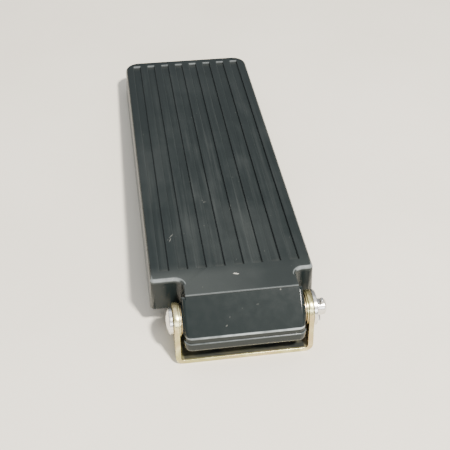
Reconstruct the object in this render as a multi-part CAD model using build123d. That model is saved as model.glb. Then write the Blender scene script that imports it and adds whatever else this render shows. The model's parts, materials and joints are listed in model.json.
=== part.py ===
from build123d import *
import math
import os

# Floor-hinged foot treadle: a ribbed moulded treadle that swings on a bent sheet-steel bracket.
# Millimetres, +Z up, +X to the right, +Y from the hinge towards the toe.
# Origin: the floor point straight below the middle of the hinge pin.
# The treadle is drawn level around the pin axis (x across, y along, z above the axis) and is
# then tilted toe-down until its rubber buttons stand on the floor.

# Driving dimensions
pin_height = 18.3            # pin axis above the floor
pin_radius = 4.0
running_gap = 0.05           # radial clearance of the pin in its bushes and in the ears

# Treadle outline
treadle_width = 78.0
treadle_centre = -2.75       # the tread stands to the left of the hinge's middle
toe_reach = 221.5            # pin axis to toe end
shoulder_reach = 13.5        # pin axis to the front walls of the heel shoulders
top_rise = 14.0              # tread surface above the pin axis
skirt_depth = 18.0
skirt_draft = 2.5            # degrees by which the skirt flares towards its foot
wall = 3.0
toe_radius = 8.5
edge_round = 1.8
neck_half = 26.5             # half width of the neck
neck_radius = 4.5            # inside corner between shoulder and neck
crease_reach = 1.5           # where the tread turns down into the nose

# Tread channels
channel_centre = -3.0
channel_count = 8
channel_pitch = 9.0
channel_width = 4.5
channel_depth = 1.4
channel_chamfer = 0.3
channel_heel = 19.6
channel_toe = 216.0

# Hinge nose
nose_half = 28.3             # half width of the nose, wider than the neck
wing_top = 12.4              # height of the nose where it stands out from the neck
wing_flat = 2.4              # length of its level top behind the slope
wing_rear = 5.0              # height of its rear end
nose_front = -12.6           # front face of the nose
nose_edge = -0.6             # height of the front edge against the pin axis
nose_corner = 3.6            # plan radius of the front corners
nose_round = 1.5
lip_top = -3.4               # the lip is the thicker foot of the nose
lip_bottom = -9.2
lip_step = 0.5               # the lip and the end faces about the pin stand out this far
lip_low_round = 2.4
lip_high_round = 0.6
nose_rear = 9.0
pocket_half = 11.0           # half width of the pocket that cores the nose out

# Underside of the treadle
ceiling = top_rise - 4.0
overlap = 0.5                # how far ribs and bosses run into the walls they join
rib = 2.2
rib_bottom = 1.0
rib_spacing = 18.0
cross_ribs = 9
first_rib = 36.0
last_rib = 198.0

# Floor bracket
sheet = 2.5
bracket_half = 32.8          # half of its outer width
bend_radius = 4.0            # outside radius of the two bends
base_front = -11.5
ear_rear = 15.0
base_rear = 44.0
tail_half = 28.0
tail_front = -6.5            # the tail is drawn from here, inside the base
tail_corner = 6.0
ear_radius = 8.5
ear_foot = 5.0
bolt_hole_radius = 3.3
bolt_spacing_x = 36.0
bolt_spacing_y = 16.0
bolt_centre_y = 28.0

# Hinge hardware
bush_radius = 5.0
bush_length = 14.0
flange_radius = 7.0
flange = 0.7
thrust_washer_radius = 8.0
thrust_washer = 0.7
washer_bore = 4.2
outer_washer_radius = 8.5
outer_washer = 1.8
washer_chamfer = 0.25
end_play = 0.2               # axial play of the pin and of the outer washer
head_radius = 6.5
head_rim = 1.7               # straight side of the head, under its dome
head_dome = 1.6
head_round = 0.4
pin_end = 39.8
pin_chamfer = 0.9
split_x = 37.2
split_hole_radius = 1.0
split_wire = 0.46            # radius of the wire
split_offset = 0.48          # the two legs stand this far from the hole's axis
split_lean = 17.0            # the split pin's eye leans towards the front, in degrees
split_shoulder = 4.7         # the eye begins this far from the pin axis
eye_half = 1.35
eye_waist = 1.0              # height of the eye's widest place above its start
eye_top = 2.5
eye_crown = 0.75             # half width of the eye's top
leg_start = 5.0              # the legs are bent apart from here
long_leg = (3.4, 3.2)        # how far each bent leg end reaches, out and down
short_leg = (4.0, 2.4)
split_bends = (0.9, 0.7, 0.8, 0.6)   # bend radii from a leg's end up to the eye's top

# Pieces under the toe
button_across = 27.0         # half of the distance between the two rubber buttons
button_reach = 206.0
button_radius = 6.0
button_stem = 2.5
button_stem_top = 6.0
button_bottom = -5.2
button_chamfer = 0.6
boss_bottom = -1.0
plate_width = 24.0
plate_length = 56.0
plate = 1.5
plate_reach = 162.0          # middle of the push plate
plate_corner = 4.0
rivet_spacing = 42.0
rivet_radius = 2.0
rivet_head_radius = 3.5      # countersunk, just below the face of the plate
rivet_head = 1.3
rivet_set_back = 0.1
rivet_top = 8.0
rivet_boss_radius = 5.0
tolerance = 0.01             # for picking out edges by their place
facing = 0.5                 # a face looks a way when its normal leans this much towards it

# Worked out
left = treadle_centre - treadle_width / 2
right = treadle_centre + treadle_width / 2
skirt_bottom = top_rise - skirt_depth
boss_half = nose_half + lip_step
slope_run = crease_reach - nose_front
slope_rise = top_rise - nose_edge
plate_bottom = rib_bottom - plate
button_edge = button_reach + button_radius
button_far = math.hypot(button_edge, button_bottom)
tilt = math.degrees(math.asin(pin_height / button_far) - math.atan2(-button_bottom, button_edge))
across = Plane.YZ            # sketches on it have y along the treadle and z up


def slab(outline, low, high):
    """Stands a flat outline up from one height to another."""
    return extrude(Pos(0, 0, low) * outline, amount=high - low)


def bar_between(profile, x_low, x_high):
    """Carries a side profile across, from one x to another."""
    return extrude(across.offset(x_low) * profile, amount=x_high - x_low)


def round_bar(radius, x_low, x_high):
    """A round bar on the pin axis."""
    return bar_between(Circle(radius), x_low, x_high)


def ring(outer, inner, x_low, x_high):
    return round_bar(outer, x_low, x_high) - round_bar(inner, x_low, x_high)


def rectangle_at(x_low, x_high, y_low, y_high):
    centre = Pos((x_low + x_high) / 2, (y_low + y_high) / 2)
    return centre * Rectangle(x_high - x_low, y_high - y_low)


def set_down(piece):
    """Moves a piece drawn level about the pin axis to its resting place."""
    return Pos(0, 0, pin_height) * Rot(-tilt, 0, 0) * piece


def at_pin(piece):
    """Lifts a piece drawn about the pin axis to the pin's height."""
    return Pos(0, 0, pin_height) * piece


def corners_at(face, x_values, y_value):
    """The vertices of a flat outline that stand at one y and at any of the given x."""
    return [v for v in face.vertices()
            if abs(v.Y - y_value) < tolerance and any(abs(v.X - x) < tolerance for x in x_values)]


def edges_at_height(block, height):
    return block.edges().filter_by_position(Axis.Z, height - tolerance, height + tolerance)


def tread_outline():
    """Plan of the tread: rounded toe, square heel shoulders, and the neck that leads to the nose."""
    face = rectangle_at(left, right, shoulder_reach, toe_reach)
    face += rectangle_at(-neck_half, neck_half, crease_reach, shoulder_reach)
    face = fillet(corners_at(face, (left, right), toe_reach), toe_radius)
    face = fillet(corners_at(face, (left, right), shoulder_reach), edge_round)
    return fillet(corners_at(face, (-neck_half, neck_half), shoulder_reach), neck_radius)


def tread_block():
    """The tread with its skirt, which flares a little towards its foot."""
    block = extrude(Pos(0, 0, top_rise) * tread_outline(), amount=-skirt_depth, taper=-skirt_draft)
    rounded = [e for e in edges_at_height(block, top_rise) if e.center().Y > crease_reach + tolerance]
    return fillet(rounded, edge_round)


def nose_plan(half_width, front):
    face = rectangle_at(-half_width, half_width, front, nose_rear)
    return fillet(corners_at(face, (-half_width, half_width), front), nose_corner)


def neck_front():
    """The end of the neck, where the tread turns down into the slope of the nose."""
    profile = Polygon((crease_reach, top_rise), (nose_front, nose_edge), (nose_front, lip_top),
                      (nose_rear, lip_top), (nose_rear, top_rise), align=None)
    block = bar_between(profile, -neck_half, neck_half)
    return block & slab(nose_plan(neck_half, nose_front), lip_top, top_rise)


def nose_block():
    """The nose: wider than the neck, with a flat slope in front and rounded rims."""
    wing_y = crease_reach - (top_rise - wing_top) * slope_run / slope_rise
    profile = Polygon((wing_y, wing_top), (nose_front, nose_edge), (nose_front, lip_top),
                      (nose_rear, lip_top), (nose_rear, wing_rear), (wing_y + wing_flat, wing_top),
                      align=None)
    block = bar_between(profile, -nose_half, nose_half)
    block &= slab(nose_plan(nose_half, nose_front), lip_top, top_rise)
    slope = block.faces().filter_by(lambda f: f.normal_at().Y < -facing and f.normal_at().Z > facing)[0]
    rim = [e for e in slope.edges() if e.center().Z < wing_top - tolerance]
    return fillet(rim, nose_round)


def nose_lip():
    """The thicker foot of the nose, a step wider all round, rounded underneath."""
    block = slab(nose_plan(boss_half, nose_front - lip_step), lip_bottom, lip_top)
    for height, radius in ((lip_bottom, lip_low_round), (lip_top, lip_high_round)):
        edges = [e for e in edges_at_height(block, height) if e.center().Y < nose_rear - tolerance]
        block = fillet(edges, radius)
    return block


def channel_cutter(x_middle):
    """One tread channel, with a small chamfer along its rim."""
    length = channel_toe - channel_heel
    middle = Pos(x_middle, (channel_heel + channel_toe) / 2, top_rise)
    flare = Rectangle(channel_width + 2 * channel_chamfer, length + 2 * channel_chamfer)
    groove = middle * extrude(Rectangle(channel_width, length), amount=-channel_depth)
    return groove + middle * extrude(flare, amount=-channel_chamfer, taper=45)


def nose_pocket():
    """The pocket that cores out the middle of the nose from below, following its slope."""
    slant = math.hypot(slope_run, slope_rise)
    inner_y = crease_reach + wall * slope_rise / slant
    inner_z = top_rise - wall * slope_run / slant
    top_y = inner_y - (inner_z - ceiling) * slope_run / slope_rise
    front_y = nose_front + wall
    front_z = inner_z - (inner_y - front_y) * slope_rise / slope_run
    profile = Polygon((nose_rear - wall, ceiling), (top_y, ceiling), (front_y, front_z),
                      (front_y, lip_bottom - overlap), (nose_rear - wall, lip_bottom - overlap),
                      align=None)
    return bar_between(profile, -pocket_half, pocket_half)


def underside_cavity():
    face = rectangle_at(left + wall, right - wall, shoulder_reach + wall, toe_reach - wall)
    face = fillet(corners_at(face, (left + wall, right - wall), toe_reach - wall), toe_radius - wall)
    face += rectangle_at(-neck_half + wall, neck_half - wall, nose_rear, shoulder_reach + wall)
    return slab(face, skirt_bottom, ceiling)


def underside_ribs():
    """Three ribs along the treadle and a row of ribs across it."""
    heel, toe = shoulder_reach + wall - overlap, toe_reach - wall + overlap
    west, east = left + wall - overlap, right - wall + overlap
    plans = []
    for step in (-1, 0, 1):
        x = treadle_centre + step * rib_spacing
        plans.append(rectangle_at(x - rib / 2, x + rib / 2, heel, toe))
    for number in range(cross_ribs):
        y = first_rib + number * (last_rib - first_rib) / (cross_ribs - 1)
        plans.append(rectangle_at(west, east, y - rib / 2, y + rib / 2))
    ribs = Part()
    for plan in plans:
        ribs += slab(plan, rib_bottom, ceiling + overlap)
    return ribs


def button_places():
    return [Pos(treadle_centre + side * button_across, button_reach, 0) for side in (-1, 1)]


def rivet_places():
    return [Pos(treadle_centre, plate_reach + side * rivet_spacing / 2, 0) for side in (-1, 1)]


def treadle_shell():
    shell = tread_block() + neck_front() + nose_block() + nose_lip()
    shell += round_bar(thrust_washer_radius, -boss_half, boss_half)
    for number in range(channel_count):
        offset = (number - (channel_count - 1) / 2) * channel_pitch
        shell -= channel_cutter(channel_centre + offset)
    shell -= underside_cavity()
    shell -= nose_pocket()
    shell += underside_ribs()
    for place in button_places():
        shell += place * slab(Circle(button_radius), boss_bottom, ceiling + overlap)
        shell -= place * slab(Circle(button_stem), boss_bottom, button_stem_top)
    for place in rivet_places():
        shell += place * slab(Circle(rivet_boss_radius), rib_bottom, ceiling + overlap)
        shell -= place * slab(Circle(rivet_radius), rib_bottom, rivet_top)
    return shell - round_bar(bush_radius, -boss_half, boss_half)


def hinge_bush(side):
    """Flanged bush pressed into one end of the nose; side is -1 on the left and 1 on the right."""
    inner = pin_radius + running_gap
    ends = sorted((side * boss_half, side * (boss_half - bush_length)))
    rim = sorted((side * boss_half, side * (boss_half + flange)))
    bore = round_bar(inner, -boss_half - flange, boss_half + flange)
    return round_bar(bush_radius, *ends) + round_bar(flange_radius, *rim) - bore


def thrust_ring(side):
    """Washer against the inside of one ear."""
    inside = bracket_half - sheet
    ends = sorted((side * inside, side * (inside - thrust_washer)))
    return ring(thrust_washer_radius, washer_bore, *ends)


def ear_profile():
    """Side outline of an ear: a wide foot drawn in to a round top about the pin."""
    foot = Polygon((base_front, 0), (ear_rear, 0), (ear_rear, ear_foot), (base_front, ear_foot),
                   align=None)
    top = Pos(0, pin_height) * Circle(ear_radius)
    return make_hull((foot + top).edges())


def floor_bracket():
    """One strip of sheet: a base plate with a tail for the floor bolts, and two ears bent up."""
    height = pin_height + ear_radius
    outer = Pos(0, height / 2) * Rectangle(2 * bracket_half, height)
    outer = fillet(outer.vertices().group_by(Axis.Y)[0], bend_radius)
    inner = Pos(0, sheet + height / 2) * Rectangle(2 * (bracket_half - sheet), height)
    inner = fillet(inner.vertices().group_by(Axis.Y)[0], bend_radius - sheet)
    channel = extrude(Plane.XZ * (outer - inner), amount=base_rear, both=True)
    bracket = channel & bar_between(ear_profile(), -bracket_half, bracket_half)
    tail = rectangle_at(-tail_half, tail_half, tail_front, base_rear)
    tail = fillet(corners_at(tail, (-tail_half, tail_half), base_rear), tail_corner)
    bracket += slab(tail, 0, sheet)
    for side_x in (-1, 1):
        for side_y in (-1, 1):
            place = Pos(side_x * bolt_spacing_x / 2, bolt_centre_y + side_y * bolt_spacing_y / 2, 0)
            bracket -= place * slab(Circle(bolt_hole_radius), 0, sheet)
    return bracket - at_pin(round_bar(pin_radius + running_gap, -bracket_half, bracket_half))


def split_frame():
    """Plane of the split pin: its own y runs up the split pin, on the pin's axis."""
    lean = math.radians(split_lean)
    return Plane(origin=(split_x, 0, 0), x_dir=(0, math.cos(lean), math.sin(lean)), z_dir=(1, 0, 0))


def hinge_pin():
    """Clevis pin: a low domed head, a plain shank and a drilled, chamfered end."""
    head_inner = -bracket_half - end_play
    shank = round_bar(pin_radius, head_inner, pin_end)
    shank = chamfer(shank.edges().sort_by(Axis.X)[-1], pin_chamfer)
    ball_radius = (head_radius ** 2 + head_dome ** 2) / (2 * head_dome)
    ball = Pos(head_inner - head_rim - head_dome + ball_radius, 0, 0) * Sphere(ball_radius)
    head = round_bar(head_radius, head_inner - head_rim - head_dome, head_inner) & ball
    head = fillet(head.edges().filter_by(GeomType.CIRCLE), head_round)
    drill = Plane(origin=(split_x, 0, 0), z_dir=split_frame().y_dir)
    hole = extrude(drill * Circle(split_hole_radius), amount=2 * pin_radius, both=True)
    return shank + head - hole


def split_pin():
    """A wire doubled back on itself: open eye above, two straight legs, ends bent apart."""
    points = [(-short_leg[0], -leg_start - short_leg[1]), (-split_offset, -leg_start),
              (-split_offset, split_shoulder), (-eye_half, split_shoulder + eye_waist),
              (-eye_crown, split_shoulder + eye_top), (eye_crown, split_shoulder + eye_top),
              (eye_half, split_shoulder + eye_waist), (split_offset, split_shoulder),
              (split_offset, -leg_start), (long_leg[0], -leg_start - long_leg[1])]
    bends = [*split_bends, *reversed(split_bends)]
    path = split_frame() * FilletPolyline(*points, radius=bends)
    section = Plane(origin=path @ 0, z_dir=path % 0) * Circle(split_wire)
    return sweep(section, path=path)


def toe_buttons():
    """Rubber buttons: a stem pushed into its boss and a head that lands on the floor."""
    buttons = []
    for place in button_places():
        head = slab(Circle(button_radius), button_bottom, boss_bottom)
        head = chamfer(head.edges().sort_by(Axis.Z)[0], button_chamfer)
        buttons.append(place * (head + slab(Circle(button_stem), boss_bottom, button_stem_top)))
    return buttons


def rivet():
    """Countersunk rivet, drawn about its own axis."""
    low = plate_bottom + rivet_set_back
    cone = Pos(0, 0, low + rivet_head / 2) * Cone(rivet_head_radius, rivet_radius, rivet_head)
    return cone + slab(Circle(rivet_radius), low, rivet_top)


def rivet_seat():
    """What a rivet takes out of the plate: its own cone, carried on to the plate's face."""
    step = (rivet_head_radius - rivet_radius) / rivet_head * rivet_set_back
    mouth = Pos(0, 0, plate_bottom + rivet_set_back / 2) * Cone(rivet_head_radius + step,
                                                                rivet_head_radius, rivet_set_back)
    return rivet() + mouth


def push_plate():
    """Steel wear plate that the machine's push rod bears on."""
    middle = Pos(treadle_centre, plate_reach)
    face = middle * RectangleRounded(plate_width, plate_length, plate_corner)
    drilled = slab(face, plate_bottom, rib_bottom)
    for place in rivet_places():
        drilled -= place * rivet_seat()
    return drilled


def push_plate_rivets():
    return [place * rivet() for place in rivet_places()]


def washer_ring():
    start = bracket_half + end_play / 2
    washer = ring(outer_washer_radius, washer_bore, start, start + outer_washer)
    return chamfer(washer.edges().filter_by(GeomType.CIRCLE).sort_by(Axis.X)[-1], washer_chamfer)


def group(pieces, move):
    return Compound(children=[Solid(move(piece).solid().wrapped) for piece in pieces])


os.makedirs("parts", exist_ok=True)
export_step(floor_bracket(), "parts/floor_bracket.step")
export_step(set_down(treadle_shell()), "parts/treadle_shell.step")
for name, side in (("left", -1), ("right", 1)):
    export_step(set_down(hinge_bush(side)), f"parts/{name}_hinge_bush.step")
    export_step(at_pin(thrust_ring(side)), f"parts/{name}_thrust_washer.step")
export_step(at_pin(hinge_pin()), "parts/hinge_pin.step")
export_step(at_pin(washer_ring()), "parts/outer_washer.step")
export_step(at_pin(split_pin()), "parts/split_pin.step")
export_step(set_down(push_plate()), "parts/push_plate.step")
export_step(group(push_plate_rivets(), set_down), "parts/push_plate_rivets.step")
export_step(group(toe_buttons(), set_down), "parts/toe_buttons.step")
print(f"tilt {tilt:.3f} degrees, toe end {toe_reach} mm from the pin")
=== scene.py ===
import bpy
import json
import math
import numpy as np
from mathutils import Matrix, Vector


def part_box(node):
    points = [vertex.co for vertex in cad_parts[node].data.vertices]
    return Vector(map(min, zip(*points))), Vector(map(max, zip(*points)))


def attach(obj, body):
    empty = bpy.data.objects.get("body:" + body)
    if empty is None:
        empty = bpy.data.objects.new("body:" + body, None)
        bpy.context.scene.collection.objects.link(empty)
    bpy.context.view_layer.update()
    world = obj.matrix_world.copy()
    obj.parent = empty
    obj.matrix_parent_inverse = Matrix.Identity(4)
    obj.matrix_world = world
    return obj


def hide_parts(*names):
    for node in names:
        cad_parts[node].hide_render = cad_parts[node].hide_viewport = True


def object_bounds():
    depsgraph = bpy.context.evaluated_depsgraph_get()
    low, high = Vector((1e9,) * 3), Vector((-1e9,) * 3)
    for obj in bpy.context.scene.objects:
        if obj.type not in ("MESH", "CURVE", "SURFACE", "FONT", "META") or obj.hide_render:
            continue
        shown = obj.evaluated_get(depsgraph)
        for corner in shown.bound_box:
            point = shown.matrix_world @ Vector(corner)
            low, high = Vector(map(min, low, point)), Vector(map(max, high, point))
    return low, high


# Foot treadle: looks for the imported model. Metres, +Z up, +Y from the hinge to the toe.
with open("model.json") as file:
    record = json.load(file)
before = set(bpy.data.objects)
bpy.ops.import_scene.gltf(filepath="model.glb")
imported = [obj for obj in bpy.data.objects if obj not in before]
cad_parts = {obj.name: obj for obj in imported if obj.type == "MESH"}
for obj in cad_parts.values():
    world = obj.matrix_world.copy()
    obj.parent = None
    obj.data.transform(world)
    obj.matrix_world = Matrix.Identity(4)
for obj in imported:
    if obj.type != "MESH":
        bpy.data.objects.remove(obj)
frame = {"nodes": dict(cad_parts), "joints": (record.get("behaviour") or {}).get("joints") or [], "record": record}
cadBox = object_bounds()
nodes = frame["nodes"]
print("frame loaded:", len(nodes), "nodes")

mm = 0.001
hinge = next(j for j in frame["joints"] if j["name"] == "treadle_hinge")
pushFace = next(m for m in frame["record"]["mounts"] if m["name"] == "push_face")
pinHeight = hinge["pos_m"][2]
tilt = math.atan2(-pushFace["axis"][1], -pushFace["axis"][2])   # toe-down lean of the treadle at rest


class Wire:
    # one output socket; sums and products of wires add their own Math nodes
    def __init__(self, finish, socket):
        self.finish, self.socket = finish, socket

    def calc(self, operation, *others):
        return self.finish.add("ShaderNodeMath", {"operation": operation}, [self, *others])

    def flipped(self, operation, other):
        return self.finish.add("ShaderNodeMath", {"operation": operation}, [other, self])

    def __add__(self, other):
        return self.calc("ADD", other)

    def __radd__(self, other):
        return self.flipped("ADD", other)

    def __sub__(self, other):
        return self.calc("SUBTRACT", other)

    def __rsub__(self, other):
        return self.flipped("SUBTRACT", other)

    def __mul__(self, other):
        return self.calc("MULTIPLY", other)

    def __rmul__(self, other):
        return self.flipped("MULTIPLY", other)

    def __abs__(self):
        return self.calc("ABSOLUTE")

    def step(self, low, high):
        # 0 at low and 1 at high, smooth between; low may be above high
        return self.finish.add("ShaderNodeMapRange", {"interpolation_type": "SMOOTHSTEP"},
                               {0: self, 1: low, 2: high, 3: 0.0, 4: 1.0})

    def folded(self, half):
        # distance from the nearest middle of a row of equal cells, each 2 * half wide
        return abs(self.calc("WRAP", half, -half))


class Finish:
    # a material with one Principled shader; add() puts in any other node
    def __init__(self, name, **fixed):
        self.material = bpy.data.materials.new(name)
        self.material.use_nodes = True
        self.tree = self.material.node_tree
        self.shader = self.tree.nodes["Principled BSDF"]
        for socket, value in fixed.items():
            self.shader.inputs[socket.replace("_", " ")].default_value = value
        self.place = self.add("ShaderNodeTexCoord", {}, {}, "Object")

    def plug(self, socket, value):
        if isinstance(value, Wire):
            self.tree.links.new(value.socket, socket)
        elif value is not None:
            socket.default_value = value

    def add(self, kind, settings, sockets, output=0):
        node = self.tree.nodes.new(kind)
        for key, value in settings.items():
            setattr(node, key, value)
        for key, value in (sockets.items() if isinstance(sockets, dict) else enumerate(sockets)):
            self.plug(node.inputs[key], value)
        return Wire(self, node.outputs[output])

    def moved(self, turn=(0, 0, 0), shift=(0, 0, 0), scale=(1, 1, 1), of=None):
        return self.add("ShaderNodeMapping", {}, {0: of or self.place, 1: shift, 2: turn, 3: scale})

    def split(self, vector):
        return [self.add("ShaderNodeSeparateXYZ", {}, [vector], axis) for axis in "XYZ"]

    def length(self, vector):
        return self.add("ShaderNodeVectorMath", {"operation": "LENGTH"}, [vector], "Value")

    def noise(self, scale, detail=3.0, rough=0.5, warp=0.0, at=None):
        return self.add("ShaderNodeTexNoise", {},
                        {"Vector": at or self.place, "Scale": scale, "Detail": detail,
                         "Roughness": rough, "Distortion": warp}, "Fac")

    def cells(self, scale, feature="F1", at=None):
        return self.add("ShaderNodeTexVoronoi", {"feature": feature},
                        {"Vector": at or self.place, "Scale": scale}, "Distance")

    def mix(self, share, first, second):
        return self.add("ShaderNodeMix", {"data_type": "RGBA"}, {0: share, 6: first, 7: second}, 2)

    def mark(self, place, turn, size, of):
        # a scuff: 1 inside a small turned oval of the given half sizes, ragged at its rim
        spot = self.add("ShaderNodeMapping", {"vector_type": "TEXTURE"},
                        {0: of, 1: place, 2: (0, 0, turn), 3: size})
        return (self.length(spot) + self.noise(900, 3, 0.7, at=of)).step(1.55, 1.3)

    def bump(self, height, distance, strength=1.0, onto=None):
        sockets = {"Height": height, "Distance": distance, "Strength": strength}
        if onto is not None:
            sockets["Normal"] = onto
        return self.add("ShaderNodeBump", {}, sockets)

    def finish(self, colour, rough, normal=None, metal=None):
        for socket, value in (("Base Color", colour), ("Roughness", rough), ("Normal", normal),
                              ("Metallic", metal)):
            self.plug(self.shader.inputs[socket], value)
        return self.material


def grey(level):
    return (level, level, level, 1.0)


# black moulding, in the treadle's own measures: x across, y along from the pin, z above the pin
tread = dict(channelCentre=-3.0 * mm, pitch=9.0 * mm, channel=4.5 * mm, rows=8,
             heelEnd=19.6 * mm, toeEnd=216.0 * mm, top=14.0 * mm, round=1.8 * mm)
nose = dict(crease=1.5 * mm, front=-12.6 * mm, edge=-0.6 * mm, lip=-3.4 * mm, lipStart=(-9 * mm, -11 * mm))
# each pair, here and in the looks, is a fade: nothing at its first value, full at its second
shoulders = dict(neckStart=(1.2 * mm, 2.2 * mm), front=(12 * mm, 13 * mm), rear=(15.8 * mm, 15.0 * mm),
                 ridgeEnd=(18 * mm, 15.5 * mm))
hazeReach = dict(toe=(215 * mm, 60 * mm), heel=(22 * mm, 85 * mm), sides=(46 * mm, 8 * mm),
                 band=(24 * mm, 13 * mm), bandRight=(18 * mm, -22 * mm))
dustReach = dict(heel=(23 * mm, 20 * mm), toe=(212 * mm, 216 * mm))
ribs = dict(centre=-2.75 * mm, across=18.0 * mm, along=20.25 * mm, first=36.0 * mm, ceiling=10.0 * mm,
            pin=2.3 * mm)
mouldingLook = dict(
    black=(0.0082, 0.0122, 0.0124, 1), haze=(0.054, 0.060, 0.058, 1), dust=(0.42, 0.41, 0.37, 1),
    # the two lighter greys on this line are partly real rubbing and partly painted highlights on edges and rims
    wearAndSheen=(0.055, 0.063, 0.063, 1), paintedShine=(0.30, 0.33, 0.335, 1), gloss=0.27, rough=0.44, smooth=0.20,
    leastRough=0.16, grain=0.05 * mm,
    # how strongly each rim is painted lighter: partly real rubbing, partly a painted highlight
    front=0.55, lip=0.24, crease=0.22, ridge=0.30, shoulder=0.50, farEnd=0.34,
    # each scuff: place, turn, half sizes (all in mm and radians) and strength
    scuffs=(((-1.2, 13.1, 14.0), -0.35, (1.5, 0.42, 3.0), 0.95),
            ((-28.9, 44.4, 14.0), 0.9, (1.8, 0.2, 3.0), 0.3),
            ((-29.7, 41.4, 14.0), 1.2, (1.6, 0.18, 3.0), 0.3),
            ((17.8, 0.6, 13.8), 0.2, (0.4, 0.3, 2.0), 0.22),
            ((-8.9, -9.3, 2.8), 0.4, (0.55, 0.25, 2.0), 0.14),
            ((-9.1, 71.0, 14.0), 0.1, (1.6, 0.25, 3.0), 0.22),
            ((3.6, 64.1, 14.0), 1.3, (1.4, 0.25, 3.0), 0.22),
            ((6.4, -3.4, 9.0), 0.1, (0.7, 0.25, 2.0), 0.05),
            ((-7.0, -6.6, 5.6), 0.9, (0.35, 0.25, 2.0), 0.07)))


def makeMoulding():
    look = mouldingLook
    made = Finish("blackMoulding", IOR=1.5, Specular_IOR_Level=look["gloss"])
    level = made.moved(turn=(tilt, 0, 0),
                       shift=(0, pinHeight * math.sin(tilt), -pinHeight * math.cos(tilt)))
    x, y, z = made.split(level)
    cloud = made.noise(26, 4, 0.55, at=level)
    fine = made.noise(260, 3, 0.6, at=level)
    streak = made.noise(1, 4, 0.6, at=made.moved(scale=(420, 13, 90), of=level))
    smear = made.noise(1, 3, 0.5, warp=0.6, at=made.moved(scale=(60, 22, 60), of=level))
    top, halfPitch = tread["top"], tread["pitch"] / 2
    up = z.step(top - 3.0 * mm, top - 1.9 * mm) * y.step(1.0 * mm, 1.5 * mm)
    # distance from the nearest wall of a channel, inside the block of channels only
    fromLand = (x - tread["channelCentre"]).folded(halfPitch)
    halfLand = halfPitch - tread["channel"] / 2
    wallLine = abs(fromLand - halfLand)
    halfBlock, halfLength = halfPitch * tread["rows"], (tread["toeEnd"] - tread["heelEnd"]) / 2
    block = abs(x - tread["channelCentre"]).step(halfBlock, halfBlock - 0.3 * mm)
    block = block * abs(y - tread["heelEnd"] - halfLength).step(halfLength + 0.4 * mm, halfLength)
    land = z.step(top - 0.9 * mm, top - 0.2 * mm)
    rim = wallLine.step(0.7 * mm, 0.1 * mm) * block * up * land
    # the moulded rounding along the outline, rubbed smooth and painted lighter as a highlight, with a fine line
    # above it
    edge = z.step(top - 0.1 * mm, top - 0.35 * mm) * z.step(top - tread["round"], top - 1.2 * mm)
    edge = edge * (1 - block) * y.step(*shoulders["neckStart"])
    line = z.step(top - 0.06 * mm, top - 0.16 * mm) * z.step(top - 0.5 * mm, top - 0.34 * mm)
    line = line * (1 - block)
    # rims painted lighter, partly rubbed by hands and shoes and partly a painted highlight: nose front, lip,
    # crease, heel shoulders
    crease = (abs(y - nose["crease"]) + abs(z - top)).step(0.6 * mm, 0.2 * mm)
    front = z.step(nose["edge"] - 0.6 * mm, nose["edge"] - 0.2 * mm) * \
        z.step(nose["edge"] + 0.6 * mm, nose["edge"] + 0.2 * mm) * \
        y.step(nose["front"] + 4 * mm, nose["front"] + 1 * mm)
    lip = abs(z - nose["lip"] + 0.25 * mm).step(0.35 * mm, 0.1 * mm) * y.step(*nose["lipStart"])
    shoulder = edge * z.step(top - 0.2 * mm, top - 0.5 * mm) * \
        y.step(*shoulders["rear"]) * y.step(*shoulders["front"])
    ridge = line * y.step(*shoulders["ridgeEnd"]) * y.step(*shoulders["neckStart"])
    # painted highlight on the channels' far ends, which face the light
    farEnd = abs(y - tread["toeEnd"]).step(0.6 * mm, 0.25 * mm)
    farEnd = farEnd * fromLand.step(halfLand, halfLand + 0.3 * mm)
    farEnd = farEnd * abs(x - tread["channelCentre"]).step(halfBlock, halfBlock - 0.3 * mm) * \
        z.step(top - 1.3 * mm, top - 0.9 * mm)
    polishAndPaintedHighlight = front * (look["front"] + smear.step(0.4, 0.7)) + lip * look["lip"]
    polishAndPaintedHighlight = polishAndPaintedHighlight + crease * look["crease"] + ridge * look["ridge"]
    polishAndPaintedHighlight = (polishAndPaintedHighlight + shoulder * look["shoulder"] + farEnd * look["farEnd"]) * (0.35 + fine * 1.3)
    # haze of use: strongest on the smooth band, thinner at both ends of the channels and at the sides
    band = y.step(*hazeReach["band"]) * up
    near = y.step(*hazeReach["toe"]) * (0.55 + y.step(*hazeReach["heel"]) * 0.6)
    middle = abs(x - ribs["centre"]).step(*hazeReach["sides"])
    haze = cloud.step(0.40, 0.72) * 0.30 + streak.step(0.45, 0.75) * block * 0.34
    haze = haze * (0.30 + near * 0.7) * (0.45 + middle * 0.55)
    haze = haze + band * (0.08 + cloud * 0.26 + x.step(*hazeReach["bandRight"]) * 0.36)
    haze = ((haze + smear.step(0.5, 0.8) * 0.14) * up + 0.05).calc("MINIMUM", 1.0)
    colour = made.mix(haze, look["black"], look["haze"])
    # lighter land edges and outline rounding: partly wear, partly a painted highlight along those edges
    wearAndSheen = rim * (0.06 + streak * 0.30) + edge * fine.step(0.50, 0.66) * 0.35
    colour = made.mix(wearAndSheen, colour, look["wearAndSheen"])
    # painted highlight: a lighter grey laid on the rims, partly rubbed plastic
    colour = made.mix(polishAndPaintedHighlight.calc("MINIMUM", 1.0), colour, look["paintedShine"])
    # loose dust in small specks, gathered at the ends of the channels, and the scuffs
    corner = block * (1 - land) * (y.step(*dustReach["heel"]) + y.step(*dustReach["toe"])) * 0.03
    marks = made.cells(330, at=level).step(0.09, 0.05) * fine.step(0.56, 0.64) * 0.22 + corner
    for place, turn, size, strength in look["scuffs"]:
        spot = made.mark([v * mm for v in place], turn, [v * mm for v in size], level)
        marks = marks.calc("MAXIMUM", spot * strength)
    colour = made.mix(marks.calc("MINIMUM", 1.0), colour, look["dust"])
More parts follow.
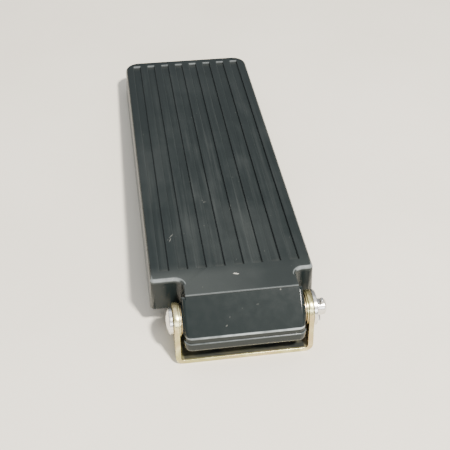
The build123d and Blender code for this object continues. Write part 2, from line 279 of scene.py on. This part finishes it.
    # nose and walls come from smoother mould faces than the tread
    plain = 1 - up
    rough = look["rough"] + haze * 0.10 + (fine - 0.5) * 0.10
    rough = rough + (streak - 0.5) * block * 0.12 - wearAndSheen * 0.12
    rough = rough - (plain + edge * 0.75).calc("MINIMUM", 1.0) * (look["rough"] - look["smooth"])
    rough = (rough + marks * 0.2).calc("MAXIMUM", look["leastRough"])
    # grain, slow waves of shrinkage, and the ejector pins' round marks between the ribs
    grain = made.noise(1500, 2, 0.6, at=level) * (0.22 + up * 0.78)
    cellX = (x - (ribs["centre"] + ribs["across"] / 2)).folded(ribs["across"] / 2)
    cellY = (y - (ribs["first"] + ribs["along"] / 2)).folded(ribs["along"] / 2)
    pinRadius = (cellX * cellX + cellY * cellY).calc("SQRT")
    inside = z.step(ribs["ceiling"] + 0.6 * mm, ribs["ceiling"] + 0.2 * mm) * \
        z.step(ribs["ceiling"] - 0.6 * mm, ribs["ceiling"] - 0.2 * mm)
    pinMark = pinRadius.step(ribs["pin"], ribs["pin"] - 0.15 * mm) * inside
    drag = made.noise(1, 3, 0.6, at=made.moved(scale=(700, 700, 30), of=level)) * plain
    normal = made.bump(made.noise(80, 2, 0.4, at=level), 0.5 * mm, 0.10)
    normal = made.bump(grain, look["grain"], 0.5, onto=normal)
    normal = made.bump(drag, 0.03 * mm, 0.10, onto=normal)
    normal = made.bump(pinMark, 0.15 * mm, 0.8, onto=normal)
    normal = made.bump(line, 0.18 * mm, 0.8, onto=normal)
    return made.finish(colour, rough, normal)


yellowLook = dict(
    olive=(0.45, 0.42, 0.19, 1), rose=(0.53, 0.42, 0.24, 1), straw=(0.74, 0.70, 0.39, 1),
    # the last colour, near-black, is partly dirt and partly painted shade under the nose
    stain=(0.26, 0.21, 0.12, 1), grimeAndShade=(0.024, 0.027, 0.023, 1), rough=0.27,
    scratched=0.75, metal=0.94,
    # where the dirt and painted shade lie on the base's upper face, as fades: its sides, its height, under the
    # nose, its front edge and its tail
    sides=(30.6 * mm, 28.5 * mm), face=(2.3 * mm, 2.45 * mm), below=(8 * mm, 4 * mm),
    front=(-11.4 * mm, -10.4 * mm), tail=(26 * mm, 8 * mm))


def makeYellowZinc():
    # a thin film that drifts between olive, straw and rose, over rolled sheet
    look = yellowLook
    made = Finish("yellowZinc")
    film = made.noise(55, 3, 0.5, warp=1.2)
    drift = made.noise(120, 2, 0.5, warp=0.8, at=made.moved(shift=(0.3, 0.1, 0.7)))
    mottle = made.noise(900, 3, 0.6)
    rolled = made.noise(1, 3, 0.6, at=made.moved(scale=(60, 900, 900)))
    colour = made.mix(film.step(0.38, 0.66), look["olive"], look["rose"])
    colour = made.mix(drift.step(0.44, 0.72) * 0.75, colour, look["straw"])
    spots = made.cells(260).step(0.16, 0.05) * made.noise(70).step(0.52, 0.62)
    scratch = made.cells(1, at=made.moved(turn=(0.3, 0.5, 0.8), scale=(900, 60, 400))).step(0.10, 0.04)
    scratch = scratch * made.noise(45, 2).step(0.55, 0.62)
    colour = made.mix(spots * 0.5, colour, look["stain"])
    colour = made.mix(scratch * 0.5, colour, grey(look["scratched"]))
    # near-black on the upper face of the base, partly dirt and partly painted shade: strongest under the nose,
    # thinner at its front edge and along its tail
    x, y, z = made.split(made.place)
    streaks = made.noise(1, 4, 0.6, warp=0.4, at=made.moved(turn=(0, 0, 0.5), scale=(60, 240, 60)))
    grimeAndShade = abs(x).step(*look["sides"]) * z.step(*look["face"]) * z.step(*look["below"])
    grimeAndShade = grimeAndShade * y.step(*look["front"]) * (0.65 + streaks * 0.6)
    grimeAndShade = grimeAndShade * (0.30 + y.step(*look["tail"]) * 0.70)
    grimeAndShade = grimeAndShade.calc("MINIMUM", 1.0)
    colour = made.mix(grimeAndShade, colour, look["grimeAndShade"])
    rough = look["rough"] + (mottle - 0.5) * 0.05 + (rolled - 0.5) * 0.08 + spots * 0.15 + grimeAndShade * 0.3
    normal = made.bump(mottle, 0.008 * mm, 0.07)
    normal = made.bump(rolled, 0.010 * mm, 0.15, onto=normal)
    normal = made.bump(1 - scratch, 0.03 * mm, 0.4, onto=normal)
    return made.finish(colour, rough, normal, metal=look["metal"] - spots * 0.4 - grimeAndShade * 0.7)


turnedLook = dict(
    brightZinc=dict(bright=(0.80, 0.785, 0.75, 1), dull=(0.62, 0.60, 0.56, 1), rough=0.24),
    drawnWire=dict(bright=(0.50, 0.50, 0.49, 1), dull=(0.30, 0.30, 0.29, 1), rough=0.30),
    rivetMetal=dict(bright=(0.74, 0.74, 0.75, 1), dull=(0.60, 0.60, 0.61, 1), rough=0.36))
metalGrain = dict(pit=0.20, crystal=0.02 * mm, cloud=0.2 * mm, ring=0.02 * mm, ringPitch=0.35 * mm,
                  leastRough=0.12, metal=0.97)


def makeTurned(name, bright, dull, rough, axisHeight=None):
    # bright plate or plain drawn metal: crystals, dull clouds, and rings about an axis across
    made = Finish(name)
    mottle = made.noise(420, 4, 0.6, warp=0.5)
    cloud = made.noise(130, 3, 0.5)
    pits = made.cells(520).step(0.16, 0.06) * made.noise(200).step(0.5, 0.6)
    colour = made.mix(mottle.step(0.38, 0.7), bright, dull)
    colour = made.mix(pits * 0.28, colour, grey(metalGrain["pit"]))
    shade = rough + (mottle - 0.5) * 0.14 + (cloud - 0.5) * 0.14 + pits * 0.2
    normal = made.bump(made.cells(1300, "SMOOTH_F1"), metalGrain["crystal"], 0.18)
    normal = made.bump(cloud, metalGrain["cloud"], 0.12, onto=normal)
    if axisHeight is not None:
        flat = made.moved(shift=(0, 0, -axisHeight), scale=(0, 1, 1))
        rings = (made.length(flat) * (2 * math.pi / metalGrain["ringPitch"])).calc("SINE")
        normal = made.bump(rings * made.noise(300), metalGrain["ring"], 0.30, onto=normal)
    return made.finish(colour, shade.calc("MAXIMUM", metalGrain["leastRough"]), normal,
                       metal=metalGrain["metal"] - pits * 0.4)


bronzeLook = dict(warm=(0.55, 0.44, 0.25, 1), brown=(0.36, 0.27, 0.14, 1), pore=(0.10, 0.07, 0.04, 1),
                  rough=0.30, depth=0.04 * mm, metal=0.95)


def makeBronze():
    # open pores in a cloudy, oily metal
    look = bronzeLook
    made = Finish("sinteredBronze")
    pores = made.cells(2600).step(0.30, 0.12) * made.noise(900).step(0.42, 0.6)
    cloud = made.noise(300, 3)
    colour = made.mix(cloud.step(0.35, 0.7), look["warm"], look["brown"])
    colour = made.mix(pores * 0.7, colour, look["pore"])
    return made.finish(colour, look["rough"] + pores * 0.3, made.bump(1 - pores, look["depth"], 0.6),
                       metal=look["metal"] - pores * 0.5)


# the rubbed strip fades out across and along the plate
plateLook = dict(
    pale=grey(0.20), dark=grey(0.13), bright=(0.36, 0.36, 0.35, 1), rust=(0.20, 0.10, 0.05, 1),
    across=(9 * mm, 3 * mm), along=(24 * mm, 12 * mm), rough=0.45, line=0.03 * mm, metal=0.95)


def makePlateSteel():
    # rolled steel, rubbed bright where the push rod slides along it, rusty elsewhere
    look = plateLook
    made = Finish("rubbedSteel")
    low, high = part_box("push_plate")
    x, y, _ = made.split(made.moved(shift=tuple(-(low + high) / 2)))
    rubbed = abs(x).step(*look["across"]) * abs(y).step(*look["along"])
    lines = made.noise(1, 4, 0.6, at=made.moved(scale=(2600, 40, 300)))
    rust = made.noise(90, 5, 0.65).step(0.56, 0.70) * (1 - rubbed)
    colour = made.mix(made.noise(60, 3).step(0.3, 0.7), look["pale"], look["dark"])
    colour = made.mix(rubbed * 0.6, colour, look["bright"])
    colour = made.mix(rust * 0.55, colour, look["rust"])
    rough = look["rough"] - rubbed * 0.22 + (lines - 0.5) * 0.2 + rust * 0.25
    return made.finish(colour, rough, made.bump(lines, look["line"], 0.4),
                       metal=look["metal"] - rust * 0.7)


rubberLook = dict(
    black=(0.018, 0.018, 0.019, 1), bloom=(0.060, 0.058, 0.054, 1), rubbed=(0.16, 0.15, 0.13, 1),
    sole=(0.6 * mm, 0.1 * mm), rough=0.72, grit=0.06 * mm)


def makeRubber():
    # greyish bloom on black, rubbed lighter where it stands on the floor
    look = rubberLook
    made = Finish("buttonRubber", IOR=1.45)
    bloom = made.noise(160, 4, 0.6)
    grit = made.noise(1400, 3, 0.6)
    rubbed = made.split(made.place)[2].step(*look["sole"])
    colour = made.mix(bloom.step(0.4, 0.75) * 0.8, look["black"], look["bloom"])
    colour = made.mix(rubbed * bloom * 0.8, colour, look["rubbed"])
    return made.finish(colour, look["rough"] + (grit - 0.5) * 0.2, made.bump(grit, look["grit"], 0.5))


def dress(name, material):
    slots = nodes[name].data.materials
    slots.clear()
    slots.append(material)


moulding = makeMoulding()
yellowZinc = makeYellowZinc()
brightZinc = makeTurned("brightZinc", **turnedLook["brightZinc"], axisHeight=pinHeight)
drawnWire = makeTurned("drawnWire", **turnedLook["drawnWire"])
rivetMetal = makeTurned("rivetMetal", **turnedLook["rivetMetal"])
bronze = makeBronze()
plateSteel = makePlateSteel()
rubber = makeRubber()
for name, material in (("treadle_shell", moulding), ("floor_bracket", yellowZinc),
                       ("left_thrust_washer", yellowZinc), ("right_thrust_washer", yellowZinc),
                       ("hinge_pin", brightZinc), ("outer_washer", brightZinc),
                       ("split_pin", drawnWire), ("left_hinge_bush", bronze),
                       ("right_hinge_bush", bronze), ("push_plate", plateSteel),
                       ("push_plate_rivets", rivetMetal), ("toe_buttons", rubber)):
    dress(name, material)
print("materials made")


# softened edges of the big pieces: how wide, and in how many steps
edgeLook = dict(floor_bracket=(0.28 * mm, 3), treadle_shell=(0.12 * mm, 1), push_plate=(0.2 * mm, 2))
joinGap = 0.001 * mm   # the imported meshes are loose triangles, so their corners are joined first
softAngle = 38   # edges that turn by more than this many degrees are softened
for name, (width, segments) in edgeLook.items():
    weld = nodes[name].modifiers.new("joined", "WELD")
    weld.merge_threshold = joinGap
    bevel = nodes[name].modifiers.new("softEdges", "BEVEL")
    bevel.width, bevel.segments = width, segments
    bevel.limit_method, bevel.angle_limit = "ANGLE", math.radians(softAngle)
    bevel.harden_normals = True


def roundedCorners(corners, radii, steps=8):
    # a closed or open line with each corner replaced by an arc; radius 0 keeps it sharp
    corners = np.asarray(corners, float)
    pieces = []
    for number, (corner, radius) in enumerate(zip(corners, radii)):
        if radius == 0:
            pieces.append(corner[None])
            continue
        back = corners[number - 1] - corner
        ahead = corners[(number + 1) % len(corners)] - corner
        back, ahead = back / np.linalg.norm(back), ahead / np.linalg.norm(ahead)
        half = np.arccos(np.clip(back @ ahead, -1, 1)) / 2
        middle = (back + ahead) / np.linalg.norm(back + ahead)
        centre = corner + middle * radius / np.sin(half)
        start = corner + back * radius / np.tan(half) - centre
        end = corner + ahead * radius / np.tan(half) - centre
        share = np.linspace(0, 1, steps)[:, None]
        arc = start * (1 - share) + end * share
        pieces.append(centre + arc * radius / np.linalg.norm(arc, axis=1, keepdims=True))
    return np.concatenate(pieces)


def gridMesh(name, patches, sharp=35):
    # each patch is points[row, column], joined round in columns, and in rows too if it is a loop
    vertices, faces = [], []
    for points, loop in patches:
        rows, columns = points.shape[:2]
        start = sum(len(v) for v in vertices)
        index = start + np.arange(rows * columns).reshape(rows, columns)
        if loop:
            index = np.vstack([index, index[:1]])
        nextColumn = np.roll(index, -1, axis=1)
        quads = np.stack([index[:-1], nextColumn[:-1], nextColumn[1:], index[1:]], axis=-1)
        faces += quads.reshape(-1, 4).tolist()
        if not loop:
            faces += [index[0, ::-1].tolist(), index[-1].tolist()]
        vertices.append(points.reshape(-1, 3))
    mesh = bpy.data.meshes.new(name)
    mesh.from_pydata(np.concatenate(vertices).tolist(), [], faces)
    mesh.shade_smooth()
    mesh.set_sharp_from_angle(angle=math.radians(sharp))
    piece = bpy.data.objects.new(name, mesh)
    bpy.context.scene.collection.objects.link(piece)
    return piece


def turnedPoints(profile, origin, axis, columns=96):
    # profile[k] = (way along the axis, radius), spun round the axis through origin
    axis = np.asarray(axis, float) / np.linalg.norm(axis)
    first = np.cross(axis, (0, 0, 1) if abs(axis[2]) < 0.9 else (0, 1, 0))
    first /= np.linalg.norm(first)
    second = np.cross(axis, first)
    angle = np.linspace(0, 2 * np.pi, columns, endpoint=False)
    spoke = np.cos(angle)[:, None] * first + np.sin(angle)[:, None] * second
    along, radius = profile[:, 0], profile[:, 1]
    return np.asarray(origin) + along[:, None, None] * axis + radius[:, None, None] * spoke


def settle(piece, material, body, node):
    piece.data.materials.append(material)
    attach(piece, body)
    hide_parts(node)


pole = 0.02 * mm   # radius of the small closed face where a spun surface meets its axis
pinLook = dict(rim=1.7 * mm, dome=1.6 * mm, headRound=0.45 * mm, shank=4.0 * mm, chamfer=0.9 * mm,
               dent=0.22 * mm)


def makePin():
    # spun profile: a ball-shaped dome on a rounded rim, a step in to the shank, a chamfered end
    look = pinLook
    low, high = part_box("hinge_pin")
    head = (high.z - low.z) / 2
    inner = low.x + look["rim"] + look["dome"]
    ball = (head ** 2 + look["dome"] ** 2) / (2 * look["dome"])
    radius = np.linspace(pole, head - 0.5 * mm, 30)
    # the middle of the dome is pressed in a little
    dome = low.x + ball - np.sqrt(ball ** 2 - radius ** 2)
    dome += look["dent"] * np.exp(-(radius / (1.3 * mm)) ** 2)
    rim = roundedCorners([(dome[-1], radius[-1]), (low.x + look["dome"] - 0.1 * mm, head), (inner, head),
                          (inner, look["shank"] + 0.3 * mm), (inner + 0.3 * mm, look["shank"]),
                          (high.x - look["chamfer"], look["shank"]),
                          (high.x, look["shank"] - look["chamfer"]), (high.x, pole)],
                         [0, look["headRound"], 0.3 * mm, 0, 0, 0.25 * mm, 0.25 * mm, 0])
    profile = np.concatenate([np.stack([dome, radius], axis=1), rim[1:]])
    points = turnedPoints(profile, (0, 0, pinHeight), (1, 0, 0))
    settle(gridMesh("pin_turned", [(points, False)]), brightZinc, "pin", "hinge_pin")


# each ring: body, material, slot, bore, how far the punch rounded its outer face, and its other edges
ringLook = dict(
    outer_washer=("pin", brightZinc, "zinc_bright", 4.2 * mm, 0.45 * mm, 0.12 * mm),
    left_thrust_washer=("bracket", yellowZinc, "zinc_yellow", 4.2 * mm, 0.2 * mm, 0.1 * mm),
    right_thrust_washer=("bracket", yellowZinc, "zinc_yellow", 4.2 * mm, 0.2 * mm, 0.1 * mm))


def makeRings():
    # punched rings: a closed profile, well rounded where the punch drew the metal in
    for name, (body, material, slot, bore, drawn, burr) in ringLook.items():
        low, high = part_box(name)
        outer = (high.z - low.z) / 2
        profile = roundedCorners([(low.x, bore), (low.x, outer), (high.x, outer), (high.x, bore)],
                                 [burr, burr, drawn, drawn])
        points = turnedPoints(profile, (0, 0, pinHeight), (1, 0, 0))
        settle(gridMesh(name + "_punched", [(points, True)]), material, body, name)


bushLook = dict(bore=4.05 * mm, barrel=5.0 * mm, flange=7.0 * mm, thick=0.7 * mm, round=0.2 * mm,
                chamfer=0.4 * mm)


def makeBushes():
    # flanged bushes: a closed profile with a barrel, a thin rounded flange and a chamfered bore
    look = bushLook
    for side, name in ((-1, "left_hinge_bush"), (1, "right_hinge_bush")):
        low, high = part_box(name)
        mouth, end = (low.x, high.x) if side < 0 else (high.x, low.x)
        rim = mouth - side * look["thick"]
        profile = roundedCorners(
            [(mouth, look["bore"] + look["chamfer"]), (mouth, look["flange"]), (rim, look["flange"]),
             (rim, look["barrel"]), (end, look["barrel"]), (end, look["bore"]),
             (mouth - side * look["chamfer"], look["bore"])],
            [0.1 * mm, look["round"], look["round"], 0.05 * mm, 0.3 * mm, 0.15 * mm, 0.1 * mm])
        points = turnedPoints(profile if side < 0 else profile[::-1], (0, 0, pinHeight), (1, 0, 0))
        settle(gridMesh(name + "_sintered", [(points, True)]), bronze, "treadle", name)


# path: out and up from the split pin's middle, in mm; bends: the radius at each inner corner
splitLook = dict(lean=17.0, out=0.90 * mm, across=0.86 * mm, inner=0.44 * mm,
                 bends=(0.9, 0.7, 0.8, 0.6, 0.6, 0.8, 0.7, 0.9),
                 path=((-4.0, -7.4), (-0.48, -5.0), (-0.48, 4.7), (-1.35, 5.7), (-0.75, 7.2), (0.75, 7.2),
                       (1.35, 5.7), (0.48, 4.7), (0.48, -5.0), (3.4, -8.2)))


def makeSplitPin():
    # half-round wire: its flat side keeps to the inside along a path up, round the eye and down
    look = splitLook
    low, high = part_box("split_pin")
    path = roundedCorners(np.array(look["path"]) * mm, [0, *(r * mm for r in look["bends"]), 0])
    way = np.gradient(path, axis=0)
    way /= np.linalg.norm(way, axis=1, keepdims=True)
    outward = np.stack([-way[:, 1], way[:, 0]], axis=1)
    angle = np.linspace(-np.pi / 2, np.pi / 2, 15)
    section = np.concatenate([np.stack([np.cos(angle), np.sin(angle)], axis=1),
                              [[-0.02, 0.9], [-0.03, 0.0], [-0.02, -0.9]]])
    section = section * (look["out"], look["across"])
    section[:, 0] -= look["inner"]
    lean = math.radians(look["lean"])
    lie = np.array([(0, math.cos(lean), math.sin(lean)), (0, -math.sin(lean), math.cos(lean))])
    centre = np.array([(low.x + high.x) / 2, 0, pinHeight]) + path @ lie
    points = centre[:, None] + section[None, :, :1] * (outward @ lie)[:, None] \
        + section[None, :, 1:] * np.array([1.0, 0, 0])
    settle(gridMesh("split_pin_wire", [(points, False)], sharp=50), drawnWire, "pin",
           "split_pin")


def levelPoint(x, along):
    # a place on the pin's level, given in the treadle's own measures
    return np.array([x, along * math.cos(tilt), pinHeight - along * math.sin(tilt)])


levelUp = (0, math.sin(tilt), math.cos(tilt))
buttonLook = dict(centre=-2.75 * mm, across=27.0 * mm, along=206.0 * mm, radius=6.0 * mm,
                  bottom=-5.2 * mm, top=-1.0 * mm, stem=2.5 * mm, stemTop=6.0 * mm, groove=0.25 * mm)
rivetLook = dict(centre=-2.75 * mm, along=162.0 * mm, spacing=42.0 * mm, head=3.5 * mm, shank=2.0 * mm,
                 low=-0.4 * mm, neck=0.9 * mm, top=8.0 * mm, dent=0.3 * mm)


def makeButtons():
    # two spun buttons: a foot with two shallow ring grooves, a rounded side, and a stem
    look = buttonLook
    radius = np.linspace(pole, look["radius"] - 0.9 * mm, 40)
    face = look["bottom"] + look["groove"] * (0.5 - 0.5 * np.cos(radius / look["radius"] * 5 * np.pi))
    side = roundedCorners([(face[-1], radius[-1]), (look["bottom"], look["radius"]),
                           (look["top"], look["radius"]), (look["top"], look["stem"]),
                           (look["stemTop"], look["stem"]), (look["stemTop"], pole)],
                          [0, 0.7 * mm, 0.3 * mm, 0, 0.3 * mm, 0])
    profile = np.concatenate([np.stack([face, radius], axis=1), side[1:]])
    patches = [(turnedPoints(profile, levelPoint(look["centre"] + s * look["across"], look["along"]),
                             levelUp, 72), False) for s in (-1, 1)]
    settle(gridMesh("toe_buttons_moulded", patches), rubber, "treadle", "toe_buttons")


def makeRivets():
    # two spun rivets: a countersunk head with a pressed dent, and a plain shank
    look = rivetLook
    radius = np.linspace(pole, look["head"] - 0.3 * mm, 24)
    face = look["low"] + look["dent"] * np.exp(-(radius / (1.4 * mm)) ** 4)
    side = roundedCorners([(face[-1], radius[-1]), (look["low"], look["head"]),
                           (look["neck"], look["shank"]), (look["top"], look["shank"]),
                           (look["top"], pole)],
                          [0, 0.15 * mm, 0.1 * mm, 0.2 * mm, 0])
    profile = np.concatenate([np.stack([face, radius], axis=1), side[1:]])
    patches = [(turnedPoints(profile, levelPoint(look["centre"], look["along"] + s * look["spacing"] / 2),
                             levelUp, 64), False) for s in (-1, 1)]
    settle(gridMesh("push_plate_rivets_set", patches), rivetMetal, "treadle",
           "push_plate_rivets")


makePin()
makeRings()
makeBushes()
makeSplitPin()
makeButtons()
makeRivets()
print("round pieces made")


floorLook = dict(pale=(0.90, 0.84, 0.725, 1), shade=(0.85, 0.79, 0.675, 1), half=3.0, rough=0.85,
                 grain=0.1 * mm)


def makeFloor():
    look = floorLook
    size = look["half"]
    mesh = bpy.data.meshes.new("floor")
    mesh.from_pydata([(-size, -size, 0), (size, -size, 0), (size, size, 0), (-size, size, 0)], [],
                     [(0, 1, 2, 3)])
    floor = bpy.data.objects.new("floor", mesh)
    bpy.context.scene.collection.objects.link(floor)
    made = Finish("paleFloor")
    sand = made.noise(900, 4, 0.65)
    cloud = made.noise(9, 4, 0.55)
    colour = made.mix((cloud * 0.7 + sand * 0.3).step(0.35, 0.68), look["pale"], look["shade"])
    mesh.materials.append(made.finish(colour, look["rough"], made.bump(sand, look["grain"], 0.25)))


# each lamp: the way its light travels, how far off it hangs, its two sides, watts and colour
lampLook = dict(
    key=((-0.32, 0.58, -1.0), 1.6, (0.14, 0.14), 60, (1.0, 0.96, 0.89)),
    overhead=((0.15, -0.25, -1.0), 1.5, (1.3, 1.3), 8, (0.93, 0.97, 1.0)),
    front=((-0.10, 0.90, -0.36), 1.4, (1.0, 0.35), 9, (0.97, 0.98, 1.0)))
skyLook = dict(colour=(0.92, 0.95, 1.0, 1), strength=0.43)


def makeLight(name, travel, distance, size, power, colour):
    # a lamp that shines along travel at the middle of the treadle
    data = bpy.data.lights.new(name, "AREA")
    data.energy, data.color = power, colour
    data.shape = "RECTANGLE"
    data.size, data.size_y = size
    lamp = bpy.data.objects.new(name, data)
    bpy.context.scene.collection.objects.link(lamp)
    direction = Vector(travel).normalized()
    lamp.location = (cadBox[0] + cadBox[1]) / 2 - direction * distance
    lamp.rotation_mode = "QUATERNION"
    lamp.rotation_quaternion = direction.to_track_quat("-Z", "Y")


def makeWorld(colour, strength):
    world = bpy.data.worlds.new("studio")
    world.use_nodes = True
    background = world.node_tree.nodes["Background"]
    background.inputs["Color"].default_value = colour
    background.inputs["Strength"].default_value = strength
    bpy.context.scene.world = world


cameraLook = dict(place=(-0.05118, -0.25811, 0.32212), azimuth=9.216, elevation=43.177, roll=-1.357,
                  lens=67.94, sensor=36.0, near=0.01, far=20)


def makeCamera():
    look = cameraLook
    azimuth, elevation, roll = (math.radians(look[k]) for k in ("azimuth", "elevation", "roll"))
    ahead = Vector((math.sin(azimuth) * math.cos(elevation), math.cos(azimuth) * math.cos(elevation),
                    -math.sin(elevation)))
    right = Vector((math.cos(azimuth), -math.sin(azimuth), 0))
    down = ahead.cross(right)
    across = right * math.cos(roll) + down * math.sin(roll)
    upward = right * math.sin(roll) - down * math.cos(roll)
    data = bpy.data.cameras.new("camera")
    data.lens, data.sensor_width = look["lens"], look["sensor"]
    data.clip_start, data.clip_end = look["near"], look["far"]
    camera = bpy.data.objects.new("camera", data)
    bpy.context.scene.collection.objects.link(camera)
    place = Matrix((across, upward, -ahead)).transposed().to_4x4()
    place.translation = Vector(look["place"])
    camera.matrix_world = place
    bpy.context.scene.camera = camera


makeFloor()
for name, lamp in lampLook.items():
    makeLight(name, *lamp)
makeWorld(**skyLook)
makeCamera()
print("floor, light and camera made")
